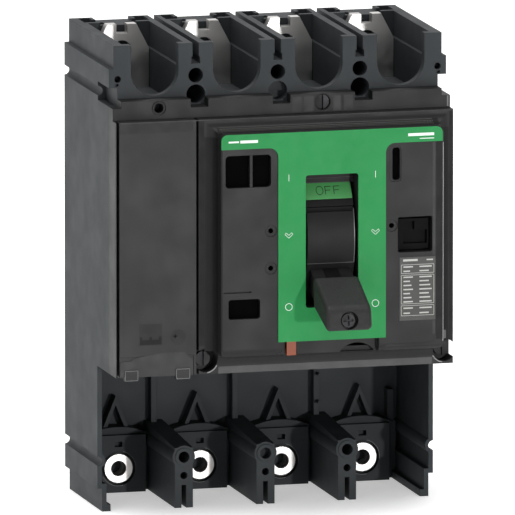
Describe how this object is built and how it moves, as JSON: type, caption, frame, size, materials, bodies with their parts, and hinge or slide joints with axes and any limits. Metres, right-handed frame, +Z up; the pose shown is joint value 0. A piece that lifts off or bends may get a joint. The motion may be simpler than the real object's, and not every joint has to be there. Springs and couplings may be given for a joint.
{
  "type": "molded case breaker",
  "caption": "Multi-pole moulded case breaker frame with toggle handle, open terminal pockets and an empty trip unit bay.",
  "frame": {"origin": "centre of the rear mounting face", "axes": "+X right seen from the front, +Y into the panel, +Z up; the toggle stands at OFF"},
  "size_m": [0.185, 0.1594, 0.255],
  "materials": {
    "case_plastic": "fine-grained dark grey moulded polyester",
    "cover_plastic": "smoky dark grey, satin",
    "neutral_plastic": "smoky dark grey, satin",
    "green_panel": "printed green, satin",
    "rating_grey": "satin label film",
    "insert_black": "black, glossy",
    "socket_plastic": "black moulded",
    "screw_steel": "blackened zinc",
    "cartridge_plastic": "brown moulded polyester",
    "rotor_plastic": "black moulded",
    "copper": "bare drawn copper",
    "tinned_copper": "tin plated, satin",
    "chute_steel": "zinc plated sheet",
    "mechanism_steel": "zinc plated",
    "spring_steel": "drawn wire",
    "toggle_plastic": "black, satin gloss",
    "grip_rubber": "black, finely textured",
    "position_green": "printed green",
    "trip_orange": "orange moulded"
  },
  "bodies": {
    "case": {"housing": "case_plastic", "lower_blocks": "case_plastic", "front_case": "cover_plastic", "accessory_cover": "cover_plastic", "neutral_cover": "neutral_plastic", "faceplate": "green_panel", "rating_label": "rating_grey", "window_inserts": "insert_black", "test_socket": "socket_plastic", "cover_screws": "screw_steel", "pole_cartridge_1": "cartridge_plastic", "pole_cartridge_2": "cartridge_plastic", "pole_cartridge_3": "cartridge_plastic", "pole_cartridge_4": "cartridge_plastic", "load_conductor_1": "copper", "load_conductor_2": "copper", "load_conductor_3": "copper", "load_conductor_4": "copper", "upper_terminal_1": "tinned_copper", "upper_terminal_2": "tinned_copper", "upper_terminal_3": "tinned_copper", "upper_terminal_4": "tinned_copper", "lower_terminal_1": "tinned_copper", "lower_terminal_2": "tinned_copper", "lower_terminal_3": "tinned_copper", "lower_terminal_4": "tinned_copper", "arc_chute_upper_1": "chute_steel", "arc_chute_upper_2": "chute_steel", "arc_chute_upper_3": "chute_steel", "arc_chute_upper_4": "chute_steel", "arc_chute_lower_1": "chute_steel", "arc_chute_lower_2": "chute_steel", "arc_chute_lower_3": "chute_steel", "arc_chute_lower_4": "chute_steel", "mechanism_plate_left": "mechanism_steel", "mechanism_plate_right": "mechanism_steel", "mechanism_spacers": "mechanism_steel", "toggle_pivot": "mechanism_steel", "trip_pin": "mechanism_steel", "trip_spring": "spring_steel"},
    "toggle": {"toggle_handle": "toggle_plastic", "toggle_grip": "grip_rubber", "toggle_screw": "screw_steel", "off_label": "position_green", "on_label": "position_green", "toggle_lever": "mechanism_steel", "main_springs": "spring_steel"},
    "contact_shaft": {"rotor_1": "rotor_plastic", "rotor_2": "rotor_plastic", "rotor_3": "rotor_plastic", "rotor_4": "rotor_plastic", "contact_arm_1": "copper", "contact_arm_2": "copper", "contact_arm_3": "copper", "contact_arm_4": "copper", "contact_shaft_rods": "mechanism_steel", "crank_pin": "mechanism_steel"},
    "trip_lever_body": {"trip_lever": "trip_orange"}
  },
  "joints": [
    {"name": "toggle_throw", "type": "hinge", "parent": "case", "child": "toggle", "pos_m": [0.0225, -0.073, 0.02275], "axis": [-1, 0, 0], "range_deg": [-2.5, 47]},
    {"name": "contact_turn", "type": "hinge", "parent": "case", "child": "contact_shaft", "pos_m": [0, -0.033, 0.02275], "axis": [1, 0, 0], "range_deg": [-1.8, 33]},
    {"name": "trip_push", "type": "hinge", "parent": "case", "child": "trip_lever_body", "pos_m": [0.002, -0.108, -0.02], "axis": [1, 0, 0], "range_deg": [0, 7], "stiffness_Nm_per_rad": 0.02, "springref_deg": -17.19}
  ],
  "couplings": [
    {"joint": "contact_turn", "follows": "toggle_throw", "ratio": 0.7}
  ]
}
